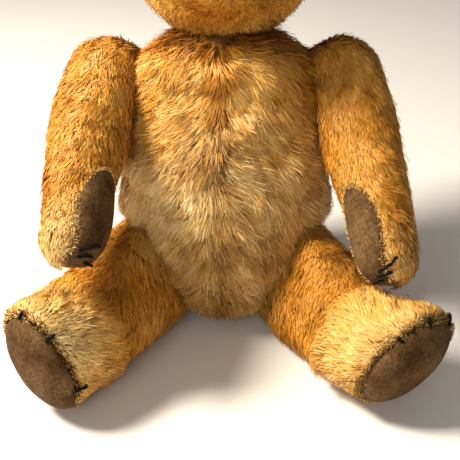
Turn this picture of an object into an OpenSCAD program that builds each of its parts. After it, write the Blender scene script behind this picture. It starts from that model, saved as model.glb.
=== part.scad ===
// Jointed mohair teddy bear, sitting. Millimetres, +Z up, the bear faces -Y, and its own left is +X.
// The origin is on the floor, in the flat that the torso sits on.
// Five disc joints (neck, shoulders, hips) each clamp two covers between a pair of hardboard discs.

/* [Torso] */
// Height of the torso along its own axis
torso_h = 193; // [186:1:200]
// Half of the torso's greatest width, over the pile
torso_half_w = 74; // [70:1:78]
// Half of the torso's greatest depth, over the pile
torso_half_d = 64; // [60:1:68]
// How far the torso leans back
torso_lean = 11; // [6:1:14]

/* [Head] */
// Half of the head's width
head_half_w = 62; // [58:1:66]
// How far the nose stands in front of the neck's axis
muzzle_reach = 80; // [74:1:86]
// Diameter of an ear
ear_d = 46; // [40:1:50]
// Diameter of a glass eye
eye_d = 14; // [12:1:16]

/* [Arms] */
// Length of an arm from its joint to the tip of the paw
arm_reach = 164; // [158:1:168]
// Swing of the right arm forward, from lying along the torso
right_arm_swing = 55; // [50:1:60]
// Swing of the left arm forward, from lying along the torso
left_arm_swing = 46; // [44:1:55]
// How far the right paw bends inward
right_paw_bend = 8; // [0:1:12]
// How far the left paw bends inward
left_paw_bend = 2; // [0:1:12]

/* [Legs] */
// Length of a leg from its joint to the sole
leg_reach = 157; // [150:1:160]
// Height of a foot, from heel to toe
foot_h = 76; // [72:1:80]
// How far the right leg spreads
right_splay = 20; // [16:1:22]
// How far the left leg spreads
left_splay = 19; // [16:1:22]
// How far the right sole turns outward
right_foot_turn = 22; // [14:1:32]
// How far the left sole turns outward
left_foot_turn = 18; // [14:1:32]
// How far the right foot rolls outward along the leg
right_foot_roll = -2; // [-8:1:30]
// How far the left foot rolls outward along the leg
left_foot_roll = 26; // [-8:1:30]

/* [Covers and joints] */
// Thickness of the mohair plush, backing and laid pile together
cover_t = 5; // [4:0.5:6]
// Radius of a cotter pin's shank
pin_r = 1.5; // [1.3:0.1:1.8]
// Thickness of a hardboard joint disc
disc_t = 3; // [2.5:0.5:3.5]

/* [Hidden] */
$fn = 48;

mohair = "darkgoldenrod";
padding = "khaki";
felt = "sienna";
far = 400;             // larger than any part, for half-spaces
gap = 0.6;             // between two covers at a joint
fit = 0.06;            // radial clearance of a pin in a body disc
washer_t = 1;
washer_r = 8;
pad_t = 1.6;           // thickness of the pad cloth
board_t = 1.5;         // thickness of an insole
thread_r = 1.1;        // radius of a claw's thread

// Joint places: the point where the axis crosses the plane between the two covers
neck_w = torso_h;                         // along the torso's axis
shoulder = [60, -1, 160];                 // in the torso's own frame, bear's left
shoulder_tilt = 7;                        // the axis points outward and up
hip = [27, 0, 48];                        // in the part's frame, bear's left
hip_tilt = 24;                            // the axis points outward and down
neck_disc_r = 22;
shoulder_disc_r = 17;
hip_disc_r = 23;
lap = 40;              // radius about a hip's axis that the torso keeps clear for the thigh

// ---- Smooth closed skins -------------------------------------------------------------------

// The value of column k at t, eased between the rows of a table whose first column is t
function row_at(rows, t, i = 0) = i >= len(rows) - 2 || t < rows[i + 1][0] ? i : row_at(rows, t, i + 1);
function slope(rows, i, k) =
    i == 0 || i == len(rows) - 1 ? 0
    : (rows[i + 1][k] - rows[i - 1][k]) / (rows[i + 1][0] - rows[i - 1][0]);
function at(rows, t, k) =
    let (i = row_at(rows, t), h = rows[i + 1][0] - rows[i][0],
         u = min(1, max(0, (t - rows[i][0]) / h)), v = 1 - u)
    rows[i][k] * v * v * (1 + 2 * u) + rows[i + 1][k] * u * u * (3 - 2 * u)
    + slope(rows, i, k) * h * u * v * v - slope(rows, i + 1, k) * h * u * u * v;

// How much of its full radius a skin has near its two rounded ends
function dome(t, ends, rounds) =
    let (a = max(0, 1 - (t - ends[0]) / rounds[0]), b = max(0, 1 - (ends[1] - t) / rounds[1]))
    sqrt(max(0, 1 - a * a)) * sqrt(max(0, 1 - b * b));

// Rows are [t, x centre, y centre, x half, y half]; the skin runs along +Z from ends[0] to ends[1].
// Inset shrinks it all round; toward the far end the rings turn about their own y, and roll about Z.
function rings(rows, ends, rounds, inset = 0, count = 14, sides = 24, turn = 0, roll = 0) = [
    for (i = [0 : count])
    let (lo = ends[0] + inset, hi = ends[1] - inset,
         t = lo + (hi - lo) * (1 - cos(180 * (i + 0.35) / (count + 0.7))) / 2,
         d = dome(t, [lo, hi], rounds), share = pow(max(0, t / ends[1] * 1.54 - 0.54), 2))
    [for (j = [0 : sides - 1])
        let (x = (at(rows, t, 3) - inset) * d * cos(360 * j / sides),
             y = (at(rows, t, 4) - inset) * d * sin(360 * j / sides), flat_x = x * cos(share * turn))
        [at(rows, t, 1) + flat_x * cos(share * roll) - y * sin(share * roll),
         at(rows, t, 2) + flat_x * sin(share * roll) + y * cos(share * roll),
         t - x * sin(share * turn)]]
];

module skin(r) {
    n = len(r[0]);
    m = len(r);
    polyhedron(
        points = [for (ring = r) each ring],
        faces = concat(
            [[for (j = [0 : n - 1]) j]],
            [for (i = [0 : m - 2]) for (j = [0 : n - 1]) let (k = (j + 1) % n)
                each [[i * n + j, (i + 1) * n + j, (i + 1) * n + k],
                      [i * n + j, (i + 1) * n + k, i * n + k]]],
            [[for (j = [n - 1 : -1 : 0]) (m - 1) * n + j]]));
}

// ---- Frames ----------------------------------------------------------------------------------

module torso_frame() rotate([-torso_lean, 0, 0]) children();
module on_side(side) mirror([side < 0 ? 1 : 0, 0, 0]) children();
// x is outward along the joint's axis, and its zero is the plane between the two covers
module shoulder_frame(side)
    on_side(side) torso_frame() translate(shoulder) rotate([0, -shoulder_tilt, 0]) children();
module hip_frame(side)
    on_side(side) translate(hip) rotate([0, hip_tilt, side > 0 ? left_splay : right_splay]) children();
module neck_frame() torso_frame() translate([0, 0, neck_w]) rotate([0, -90, 0]) children();
// All that lies beyond x = limit in a joint's frame, or short of it
module beyond(limit) translate([limit, -far / 2, -far / 2]) cube(far);
module above_floor(rise = 0) translate([-far / 2, -far / 2, rise]) cube(far);

// ---- Torso -----------------------------------------------------------------------------------

torso_rows = [
    [-4, 0, -14, 15, 24], [8, 0, -11, 33, 40], [22, 0, -9, 48, 50], [38, 0, -8, 60, 57],
    [58, 0, -7, 70, 63], [82, 0, -6, torso_half_w + 1, torso_half_d], [112, 0, -4, torso_half_w, 61],
    [142, 0, 1, 71, 54], [168, 0, 3, 66, 48], [torso_h + 2, 0, 3, 44, 36]
];

module torso_solid(inset = 0) {
    difference() {
        intersection() {
            torso_frame() skin(rings(torso_rows, [-4, torso_h + 14], [10, 34], inset, 17, 32));
            above_floor(inset);
        }
        for (side = [-1, 1]) {
            shoulder_frame(side) beyond(-gap / 2 - inset);
            hip_frame(side) leg_room(inset);
        }
        neck_frame() beyond(-gap / 2 - inset);
    }
}

// What a leg sweeps as it swings from sitting to standing: beyond the joint's plane, below the lap,
// and a cone about the axis
module leg_room(inset) {
    translate([-gap / 2 - inset, -far / 2, -far / 2]) cube([far, far, far / 2 + lap - 6 + inset]);
    translate([-gap / 2 - inset, 0, 0]) rotate([0, 90, 0]) cylinder(r1 = lap + inset, r2 = 2 * lap, h = lap);
}

module torso_cover() color(mohair) difference() {
    torso_solid();
    torso_solid(cover_t);
    for (side = [-1, 1]) {
        shoulder_frame(side) cover_room(-1, shoulder_disc_r);
        hip_frame(side) cover_room(-1, hip_disc_r);
    }
    neck_frame() cover_room(-1, neck_disc_r);
}

module torso_stuffing() color(padding) difference() {
    torso_solid(cover_t + 0.05);
    for (side = [-1, 1]) {
        shoulder_frame(side) joint_pocket(-1, shoulder_disc_r);
        hip_frame(side) joint_pocket(-1, hip_disc_r);
    }
    neck_frame() joint_pocket(-1, neck_disc_r);
}

// ---- Disc joints, along x of the joint's frame ---------------------------------------------------

module along_x(from) translate([from, 0, 0]) rotate([0, 90, 0]) children();
module ring_plate(outer, inner, thick) difference() {
    cylinder(r = outer, h = thick);
    translate([0, 0, -1]) cylinder(r = inner, h = thick + 2);
}
disc_at = gap / 2 + cover_t + 0.1;
washer_at = disc_at + disc_t;
stack_end = washer_at + washer_t;

module disc(side, radius, bore) color("tan")
    along_x(side > 0 ? disc_at : -disc_at - disc_t) ring_plate(radius, bore, disc_t);
module washer(side, bore) color("silver")
    along_x(side > 0 ? washer_at : -washer_at - washer_t) ring_plate(washer_r, bore, washer_t);
module pin_hole(radius) along_x(-far / 8) cylinder(r = radius, h = far / 4);

// The room that a joint's hardware needs in the stuffing, on the limb's side or the torso's
module joint_pocket(side, radius) {
    depth = stack_end - disc_at + 0.2;
    along_x(side > 0 ? disc_at - 0.3 : -disc_at - depth) cylinder(r = radius + 0.4, h = depth + 0.3);
    along_x(side > 0 ? 0 : -stack_end - 11) cylinder(r = 9, h = stack_end + 11);
}

// The pin's hole in a cover, and the dent that the disc presses into it
module cover_room(side, radius) {
    pin_hole(pin_r + 0.5);
    along_x(side > 0 ? disc_at - 0.05 : -disc_at - 12) cylinder(r = radius + 0.3, h = 12.05);
}

// A cotter pin: its eye bears on the limb's washer, and its two ends curl on the torso's washer
module cotter_pin() color("darkgray") {
    along_x(-stack_end - 4) cylinder(r = pin_r, h = 2 * stack_end + 7);
    translate([stack_end + 4.4, 0, 0]) rotate([90, 0, 0]) rotate_extrude() translate([3, 0]) circle(r = 1.2);
    for (turn = [0, 180])
        rotate([turn, 0, 0]) translate([-stack_end - 3.4, 0, 3.2]) rotate([90, 0, 0])
            rotate_extrude() translate([2.2, 0]) circle(r = 0.9);
}

// ---- Head, lofted from the back of the skull to the nose along -Y of the neck's upright frame ----

head_mid = 53;         // height of the skull's middle over the neck's plane
head_back = 58;
head_rows = [
    [-head_back, 0, 0, 40, 38], [-30, 0, 0, 58, 55], [-5, 0, 2, head_half_w, 60], [18, 0, 1, 58, 55],
    [36, 0, -5, 42, 40], [50, 0, -11, 29, 28], [64, 0, -13, 23, 21], [muzzle_reach, 0, -14, 19, 17]
];

module upright_head() torso_frame() translate([0, 0, neck_w]) children();
module head_place() upright_head() translate([0, 0, head_mid]) rotate([90, 0, 0]) children();

module head_solid(inset = 0) intersection() {
    head_place() skin(rings(head_rows, [-head_back, muzzle_reach], [34, 15], inset, 18, 32));
    neck_frame() beyond(gap / 2 + inset);
}

module head_cover() color(mohair) difference() {
    head_solid();
    head_solid(cover_t);
    neck_frame() cover_room(1, neck_disc_r);
    for (side = [-1, 1]) eye_place(side) {
        translate([0, 0, -15]) cylinder(r = 1, h = 30);
        eye_socket();
    }
}

module head_stuffing() color(padding) difference() {
    head_solid(cover_t + 0.05);
    neck_frame() joint_pocket(1, neck_disc_r);
    for (side = [-1, 1]) eye_place(side) {
        translate([0, 0, -17]) cylinder(r = 3.4, h = 30);
        eye_socket();
    }
}

// Ears: thick half-round cushions, curved forward, standing on the skull's upper corners
ear_seat = [47, 6, 96];
module ear(side) color(mohair) difference() {
    on_side(side) upright_head() translate(ear_seat) rotate([-6, 34, 14]) ear_cushion();
    head_solid(-0.15);
}
module ear_cushion() intersection() {
    rotate([90, 0, 0]) cylinder(r = ear_d / 2, h = 15, center = true);
    translate([0, 24, 0]) sphere(r = 32);
    translate([-30, -30, -9]) cube(60);
}

// Glass eyes: a domed button on a wire shank that is pulled into the head
eye_seat = [24, -40, 75];      // where an eye's axis meets the face
eye_sink = 3.5;                // how deep its back lies in the pile
module eye_place(side)
    on_side(side) upright_head() translate(eye_seat) rotate([59, 0, 27])
        translate([0, 0, -eye_sink]) children();
module eye_socket() translate([0, 0, -0.1]) cylinder(r = eye_d / 2 + 0.2, h = 15);
module eye(side) color("orange") eye_place(side) {
    intersection() {
        translate([0, 0, -3]) sphere(r = eye_d / 2 + 1);
        cylinder(r = eye_d / 2, h = 10);
    }
    translate([0, 0, -12]) cylinder(r = 0.6, h = 13);
    translate([0, 0, -13]) rotate([90, 0, 0]) rotate_extrude() translate([1.6, 0]) circle(r = 0.6);
}

// The nose is a mat of floss stitches, and the mouth two slanted stitches under one upright
module nose() color("black") difference() {
    upright_head() translate([0, -muzzle_reach + 5, head_mid - 7]) rotate([82, 0, 0])
        hull() {
            translate([-8, 3, 0]) cylinder(r = 3, h = 8.4, $fn = 24);
            translate([8, 3, 0]) cylinder(r = 3, h = 8.4, $fn = 24);
            translate([0, -5, 0]) cylinder(r = 4, h = 8.4, $fn = 24);
        }
    head_solid(-0.1);
}
mouth_slant = 28;
module mouth() color("black") difference() {
    intersection() {
        head_solid(-2 * thread_r);
        upright_head() translate([0, -muzzle_reach - 4, head_mid - 18.4]) {
            translate([-thread_r, 0, -4]) cube([2 * thread_r, 16, 5.8]);
            for (side = [-1, 1]) translate([0, 0, -3]) mirror([side > 0 ? 0 : 1, 0, 0])
                rotate([0, mouth_slant, 0]) translate([0, 0, -thread_r]) cube([11, 16, 2 * thread_r]);
        }
    }
    head_solid(-0.1);
}

// ---- Arms, lofted along -Z of the shoulder's frame ------------------------------------------------

arm_top = 27;          // how far the arm stands above its joint
function bend(side) = side > 0 ? left_paw_bend : right_paw_bend;
function arm_rows(side) = [
    [-arm_top, 20, 0, 26, 26], [0, 20, 0, 28, 28], [35, 24, 0, 27, 28],
    [70, 26.5 - bend(side) * 0.2, -1, 24, 26], [105, 28 - bend(side) * 0.6, -3, 21, 24],
    [130, 29 - bend(side), -5, 20, 22], [arm_reach, 29 - bend(side), -8, 18, 19]
];

module arm_frame(side) shoulder_frame(side)
    rotate([side > 0 ? -left_arm_swing : -right_arm_swing, 0, 0]) children();
// Loft's t runs down the arm, and its y stays forward-negative
module down_arm() mirror([0, 0, 1]) children();

module arm_solid(side, inset = 0) intersection() {
    down_arm() skin(rings(arm_rows(side), [-arm_top, arm_reach], [26, 19], inset, 14, 24));
    beyond(gap / 2 + inset);
}

// The oval of the paw pad, as a column that faces forward and inward
pad_half_w = 15.5;
pad_half_l = 32;
pad_facing = -54;
module paw_column(side, grow = 0)
    translate([28 - bend(side), -5, -arm_reach + pad_half_l + 1]) rotate([0, 0, pad_facing])
        rotate([90, 0, 0]) linear_extrude(60) oval(pad_half_w + grow, pad_half_l + grow);
module oval(half_w, half_h)
    polygon([for (i = [0 : 31]) [half_w * cos(i * 11.25), half_h * sin(i * 11.25)]]);

module arm_cover(side) color(mohair) arm_frame(side) difference() {
    arm_solid(side);
    arm_solid(side, cover_t);
    cover_room(1, shoulder_disc_r);
    paw_column(side);
}
module arm_stuffing(side) color(padding) arm_frame(side) difference() {
    arm_solid(side, cover_t + 0.05);
    joint_pocket(1, shoulder_disc_r);
}
module paw_pad(side) color(felt) arm_frame(side) intersection() {
    difference() {
        arm_solid(side, cover_t - pad_t);
        arm_solid(side, cover_t);
    }
    paw_column(side, -0.15);
}

// Claw stitches lie across the outer half of the pad's end, and fan out a little
paw_claw_t = [24, 15, 7];      // back from the paw's tip
paw_claw_in = [3, 2, 1];       // from the pad's middle line to the stitch's middle
paw_claw_slant = [14, 4, -8];
module paw_claws(side) color("black") arm_frame(side) difference() {
    intersection() {
        arm_solid(side, cover_t - pad_t - 2 * thread_r);
        paw_column(side, -0.3);
        for (i = [0 : 2])
            translate([28 - bend(side), -6, paw_claw_t[i] - arm_reach]) rotate([0, 0, pad_facing])
                translate([paw_claw_in[i], 0, 0]) rotate([0, -paw_claw_slant[i], 0])
                    translate([-6, -far / 4, -thread_r]) cube([12, far / 4, 2 * thread_r]);
    }
    arm_solid(side, cover_t - pad_t - 0.05);
}

// ---- Legs, lofted along -Y of the hip's frame ------------------------------------------------------

leg_back = 28;         // how far the thigh reaches behind its joint
foot_mid = 4;          // height of the sole's middle over the joint
function foot_turn(side) = side > 0 ? left_foot_turn : right_foot_turn;
function foot_roll(side) = side > 0 ? left_foot_roll : right_foot_roll;
leg_in = [0, 8];       // how far the middle of the right and the left leg curve inward
function leg_rows(side) = let (k = side > 0 ? leg_in[1] : leg_in[0]) [
    [-leg_back, 17, -3, 30, 33], [0, 18 - k / 2, -3 - k / 3, 35, 36], [35, 20 - k, -3 - k / 2, 40, 37],
    [68, 24 - k, -2 - k / 2, 38, 36], [98, 28 - k, -1 - k * 0.55, 34, 33 - k * 0.3],
    [124, 31 - k, 2 - k * 0.3, 32, 34 - k * 0.25],
    [144, 34 - k / 3, foot_mid + 2, 30, foot_h / 2], [leg_reach, 36, foot_mid + 2, 30, foot_h / 2]
];
sole_mid = [36, foot_mid + 2, leg_reach];

module along_leg() rotate([90, 0, 0]) children();

module leg_solid(side, inset = 0) intersection() {
    hip_frame(side) intersection() {
        along_leg() skin(rings(leg_rows(side), [-leg_back, leg_reach], [28, 9], inset, 15, 24,
                               foot_turn(side), -foot_roll(side)));
        beyond(gap / 2 + inset);
    }
    above_floor(inset);
}

// A frame whose z is the sole's outward normal, with its origin at the sole's middle
module sole_place(side)
    hip_frame(side) along_leg() translate(sole_mid)
        rotate([0, 0, -foot_roll(side)]) rotate([0, foot_turn(side), 0]) children();
sole_w = 26;           // half width of the sole pad
sole_l = foot_h / 2 - 4;
module sole_column(grow = 0) translate([0, 0, -9]) linear_extrude(20) oval(sole_w + grow, sole_l + grow);

module leg_cover(side) color(mohair) difference() {
    leg_solid(side);
    leg_solid(side, cover_t);
    hip_frame(side) cover_room(1, hip_disc_r);
    sole_place(side) sole_column();
}
module leg_stuffing(side) color(padding) difference() {
    leg_solid(side, cover_t + 0.05);
    hip_frame(side) joint_pocket(1, hip_disc_r);
    sole_place(side) translate([0, 0, -cover_t - board_t - 0.1])
        linear_extrude(20) oval(sole_w + 8, sole_l + 8);
}
// The pad is padded: it domes out of its seam
sole_dome = 8;
module sole_pad(side) color(felt) sole_place(side) translate([0, 0, -cover_t + 0.1])
    skin(concat(
        [[for (j = [0 : 31]) sole_point(1, j, 0)]],
        [for (i = [0 : 8]) [for (j = [0 : 31]) sole_point(cos(i * 10.5), j, pad_t + sole_dome * sin(i * 10.5))]]));
function sole_point(share, j, z) =
    [(sole_w - 0.2) * share * cos(j * 11.25), (sole_l - 0.2) * share * sin(j * 11.25), z];
module insole(side) color("tan") sole_place(side)
    translate([0, 0, -cover_t - board_t]) linear_extrude(board_t) oval(sole_w - 2, sole_l - 2);

// Claw stitches run from the upper edge of the sole back over the pile
foot_claw_at = [97, 157, 203];  // round the edge of the foot, from its outer side over the toe
module foot_claws(side) color("black") difference() {
    intersection() {
        leg_solid(side, -2 * thread_r);
        sole_place(side) for (a = foot_claw_at) rotate([0, 0, a])
            translate([sole_w - 6, -thread_r, -20]) cube([foot_h, 2 * thread_r, 15]);
    }
    leg_solid(side, -0.1);
    sole_place(side) sole_column(0.05);
}

// ---- The assembly ------------------------------------------------------------------------------------

torso_cover();
torso_stuffing();
head_cover();
head_stuffing();
ear(1);  // left_ear
ear(-1);  // right_ear
eye(1);  // left_eye
eye(-1);  // right_eye
nose();
mouth();
arm_cover(1);  // left_arm_cover
arm_stuffing(1);  // left_arm_stuffing
paw_pad(1);  // left_paw_pad
paw_claws(1);  // left_paw_claws
arm_cover(-1);  // right_arm_cover
arm_stuffing(-1);  // right_arm_stuffing
paw_pad(-1);  // right_paw_pad
paw_claws(-1);  // right_paw_claws
leg_cover(1);  // left_leg_cover
leg_stuffing(1);  // left_leg_stuffing
sole_pad(1);  // left_sole_pad
insole(1);  // left_insole
foot_claws(1);  // left_foot_claws
leg_cover(-1);  // right_leg_cover
leg_stuffing(-1);  // right_leg_stuffing
sole_pad(-1);  // right_sole_pad
insole(-1);  // right_insole
foot_claws(-1);  // right_foot_claws
neck_frame() disc(1, neck_disc_r, pin_r);  // neck_head_disc
neck_frame() washer(1, pin_r);  // neck_head_washer
neck_frame() cotter_pin();  // neck_pin
neck_frame() disc(-1, neck_disc_r, pin_r + fit);  // neck_body_disc
neck_frame() washer(-1, pin_r + fit);  // neck_body_washer
shoulder_frame(1) disc(1, shoulder_disc_r, pin_r);  // left_shoulder_arm_disc
shoulder_frame(1) washer(1, pin_r);  // left_shoulder_arm_washer
shoulder_frame(1) cotter_pin();  // left_shoulder_pin
shoulder_frame(1) disc(-1, shoulder_disc_r, pin_r + fit);  // left_shoulder_body_disc
shoulder_frame(1) washer(-1, pin_r + fit);  // left_shoulder_body_washer
shoulder_frame(-1) disc(1, shoulder_disc_r, pin_r);  // right_shoulder_arm_disc
shoulder_frame(-1) washer(1, pin_r);  // right_shoulder_arm_washer
shoulder_frame(-1) cotter_pin();  // right_shoulder_pin
shoulder_frame(-1) disc(-1, shoulder_disc_r, pin_r + fit);  // right_shoulder_body_disc
shoulder_frame(-1) washer(-1, pin_r + fit);  // right_shoulder_body_washer
hip_frame(1) disc(1, hip_disc_r, pin_r);  // left_hip_leg_disc
hip_frame(1) washer(1, pin_r);  // left_hip_leg_washer
hip_frame(1) cotter_pin();  // left_hip_pin
hip_frame(1) disc(-1, hip_disc_r, pin_r + fit);  // left_hip_body_disc
hip_frame(1) washer(-1, pin_r + fit);  // left_hip_body_washer
hip_frame(-1) disc(1, hip_disc_r, pin_r);  // right_hip_leg_disc
hip_frame(-1) washer(1, pin_r);  // right_hip_leg_washer
hip_frame(-1) cotter_pin();  // right_hip_pin
hip_frame(-1) disc(-1, hip_disc_r, pin_r + fit);  // right_hip_body_disc
hip_frame(-1) washer(-1, pin_r + fit);  // right_hip_body_washer
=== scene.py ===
"""Looks of the jointed mohair teddy bear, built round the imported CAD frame. Lengths are in metres."""
import math

import bmesh
import bpy
import numpy as np
from mathutils import Matrix, Vector
from mathutils.bvhtree import BVHTree


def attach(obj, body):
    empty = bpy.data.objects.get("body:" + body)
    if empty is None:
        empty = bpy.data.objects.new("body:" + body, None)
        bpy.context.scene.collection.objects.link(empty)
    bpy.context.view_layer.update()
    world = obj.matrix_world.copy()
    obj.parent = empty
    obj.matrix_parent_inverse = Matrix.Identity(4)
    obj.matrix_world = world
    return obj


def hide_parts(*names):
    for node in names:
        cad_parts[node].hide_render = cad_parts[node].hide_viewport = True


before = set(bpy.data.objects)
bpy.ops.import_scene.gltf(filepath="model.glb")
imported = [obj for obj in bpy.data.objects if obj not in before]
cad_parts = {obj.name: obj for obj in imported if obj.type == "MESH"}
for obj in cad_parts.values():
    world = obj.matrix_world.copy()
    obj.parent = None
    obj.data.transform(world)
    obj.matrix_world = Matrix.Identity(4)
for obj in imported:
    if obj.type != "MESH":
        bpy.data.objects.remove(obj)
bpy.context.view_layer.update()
MM = 0.001
FULL_TURN = 6.283        # radians, for random phases
ON_FLOOR = 0.0004        # the lowest a strand may lie
FLOOR_BARE = 0.0012      # no strand is rooted below this

# ---- Shapes shared with the CAD part, in millimetres ---------------------------------------------

LEAN = 11
SHOULDER, SHOULDER_TILT = (60, -1, 160), 7
HIP, HIP_TILT = (27, 0, 48), 24
SPLAY = {1: 19, -1: 20}
SWING = {1: 46, -1: 55}
PAW_BEND = {1: 2, -1: 8}
FOOT_TURN = {1: 18, -1: 22}
FOOT_ROLL = {1: 26, -1: -2}
LEG_IN = {1: 8, -1: 0}
ARM_REACH, LEG_REACH, NECK_W = 164, 157, 193
GAP = 0.6
TORSO_ROWS = [
    (-4, 0, -14, 15, 24), (8, 0, -11, 33, 40), (22, 0, -9, 48, 50), (38, 0, -8, 60, 57),
    (58, 0, -7, 70, 63), (82, 0, -6, 75, 64), (112, 0, -4, 74, 61), (142, 0, 1, 71, 54),
    (168, 0, 3, 66, 48), (195, 0, 3, 44, 36)]
HEAD_ROWS = [
    (-58, 0, 0, 40, 38), (-30, 0, 0, 58, 55), (-5, 0, 2, 62, 60), (18, 0, 1, 58, 55),
    (36, 0, -5, 42, 40), (50, 0, -11, 29, 28), (64, 0, -13, 23, 21), (80, 0, -14, 19, 17)]
HEAD_MID = 53
PAD_L, PAD_R = 32, 14.5


def arm_rows(side):
    b = PAW_BEND[side]
    return [
        (-27, 20, 0, 26, 26), (0, 20, 0, 28, 28), (35, 24, 0, 27, 28), (70, 26.5 - b * 0.2, -1, 24, 26),
        (105, 28 - b * 0.6, -3, 21, 24), (130, 29 - b, -5, 20, 22), (ARM_REACH, 29 - b, -8, 18, 19)]


def leg_rows(side):
    k = LEG_IN[side]
    return [
        (-28, 17, -3, 30, 33), (0, 18 - k / 2, -3 - k / 3, 35, 36), (35, 20 - k, -3 - k / 2, 40, 37),
        (68, 24 - k, -2 - k / 2, 38, 36), (98, 28 - k, -1 - k * 0.55, 34, 33 - k * 0.3),
        (124, 31 - k, 2 - k * 0.3, 32, 34 - k * 0.25),
        (144, 34 - k / 3, 6, 30, 38), (157, 36, 6, 30, 38)]


def at(rows, t, k):
    """Column k of a table at t, eased between its rows."""
    i = 0
    while i < len(rows) - 2 and t >= rows[i + 1][0]:
        i += 1

    def slope(j):
        if j == 0 or j == len(rows) - 1:
            return 0
        return (rows[j + 1][k] - rows[j - 1][k]) / (rows[j + 1][0] - rows[j - 1][0])
    h = rows[i + 1][0] - rows[i][0]
    u = min(1, max(0, (t - rows[i][0]) / h))
    v = 1 - u
    return (rows[i][k] * v * v * (1 + 2 * u) + rows[i + 1][k] * u * u * (3 - 2 * u)
            + slope(i) * h * u * v * v - slope(i + 1) * h * u * u * v)


def rings(rows, ends, rounds, count=26, sides=48, turn=0, roll=0):
    """Rings of a closed skin along +Z; toward the far end they turn about their own y and roll about z."""
    out = []
    for i in range(count + 1):
        t = ends[0] + (ends[1] - ends[0]) * (1 - math.cos(math.pi * (i + 0.35) / (count + 0.7))) / 2
        a = max(0, 1 - (t - ends[0]) / rounds[0])
        b = max(0, 1 - (ends[1] - t) / rounds[1])
        d = math.sqrt(max(0, 1 - a * a)) * math.sqrt(max(0, 1 - b * b))
        share = max(0, t / ends[1] * 1.54 - 0.54) ** 2
        lean, spin = math.radians(share * turn), math.radians(share * roll)
        ring = []
        for j in range(sides):
            x = at(rows, t, 3) * d * math.cos(2 * math.pi * j / sides)
            y = at(rows, t, 4) * d * math.sin(2 * math.pi * j / sides)
            fx = x * math.cos(lean)
            ring.append((at(rows, t, 1) + fx * math.cos(spin) - y * math.sin(spin),
                         at(rows, t, 2) + fx * math.sin(spin) + y * math.cos(spin),
                         t - x * math.sin(lean)))
        out.append(ring)
    return np.array(out)


def turned(axis, deg):
    return Matrix.Rotation(math.radians(deg), 4, axis)


def moved(v):
    return Matrix.Translation(Vector(v))


def mirrored(side):
    return Matrix.Diagonal((side, 1, 1, 1))


TORSO_AT = turned("X", -LEAN)
UPRIGHT = TORSO_AT @ moved((0, 0, NECK_W))
HEAD_AT = UPRIGHT @ moved((0, 0, HEAD_MID)) @ turned("X", 90)


def shoulder_at(side):
    return mirrored(side) @ TORSO_AT @ moved(SHOULDER) @ turned("Y", -SHOULDER_TILT)


def arm_at(side):
    return shoulder_at(side) @ turned("X", -SWING[side])


def hip_at(side):
    return mirrored(side) @ moved(HIP) @ turned("Z", SPLAY[side]) @ turned("Y", HIP_TILT)


def sole_at(side):
    return (hip_at(side) @ turned("X", 90) @ moved((36, 6, LEG_REACH))
            @ turned("Z", -FOOT_ROLL[side]) @ turned("Y", FOOT_TURN[side]))


def pad_at(side):
    """A frame at the middle of the paw pad whose -y looks out of it."""
    return arm_at(side) @ moved((28 - PAW_BEND[side], -5, -ARM_REACH + PAD_L + 1)) @ turned("Z", -54)


def placed(points, matrix):
    m = np.array(matrix)
    return points @ m[:3, :3].T + m[:3, 3]


# ---- Meshes --------------------------------------------------------------------------------------

def new_object(name, verts, faces, mats=()):
    mesh = bpy.data.meshes.new(name)
    mesh.from_pydata([tuple(v) for v in verts], [], faces)
    mesh.update()
    obj = bpy.data.objects.new(name, mesh)
    bpy.context.scene.collection.objects.link(obj)
    for m in mats:
        mesh.materials.append(m)
    return obj


def outward(obj):
    bm = bmesh.new()
    bm.from_mesh(obj.data)
    bmesh.ops.recalc_face_normals(bm, faces=bm.faces)
    bm.to_mesh(obj.data)
    bm.free()
    return obj


def shaded_smooth(obj):
    obj.data.polygons.foreach_set("use_smooth", [True] * len(obj.data.polygons))
    return obj


def quads(rows, n):
    """Faces between rows + 1 closed rows of n points."""
    return [[i * n + j, (i + 1) * n + j, (i + 1) * n + (j + 1) % n, i * n + (j + 1) % n]
            for i in range(rows) for j in range(n)]


def closed_skin(name, r, mats):
    """A closed mesh over a list of rings."""
    m, n = r.shape[:2]
    faces = [[i * n + j, i * n + (j + 1) % n, (i + 1) * n + (j + 1) % n, (i + 1) * n + j]
             for i in range(m - 1) for j in range(n)]
    faces.append(list(range(n))[::-1])
    faces.append([(m - 1) * n + j for j in range(n)])
    return outward(new_object(name, r.reshape(-1, 3), faces, mats))


def remeshed(obj, voxel):
    """The object rebuilt on an even grid."""
    mod = obj.modifiers.new("even", "REMESH")
    mod.mode = "VOXEL"
    mod.voxel_size = voxel
    mod.use_smooth_shade = True
    return applied(obj)


def applied(obj):
    """The object with its modifiers made part of its mesh."""
    dg = bpy.context.evaluated_depsgraph_get()
    mesh = bpy.data.meshes.new_from_object(obj.evaluated_get(dg))
    mats = list(obj.data.materials)
    obj.modifiers.clear()
    obj.data = mesh
    if not mesh.materials:
        for m in mats:
            mesh.materials.append(m)
    return obj


def coords(obj):
    co = np.zeros(len(obj.data.vertices) * 3)
    obj.data.vertices.foreach_get("co", co)
    return co.reshape(-1, 3)


def normals(obj):
    no = np.zeros(len(obj.data.vertices) * 3)
    obj.data.vertices.foreach_get("normal", no)
    return no.reshape(-1, 3)


def set_coords(obj, co):
    obj.data.vertices.foreach_set("co", np.ascontiguousarray(co, float).ravel())
    obj.data.update()
    return obj


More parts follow.
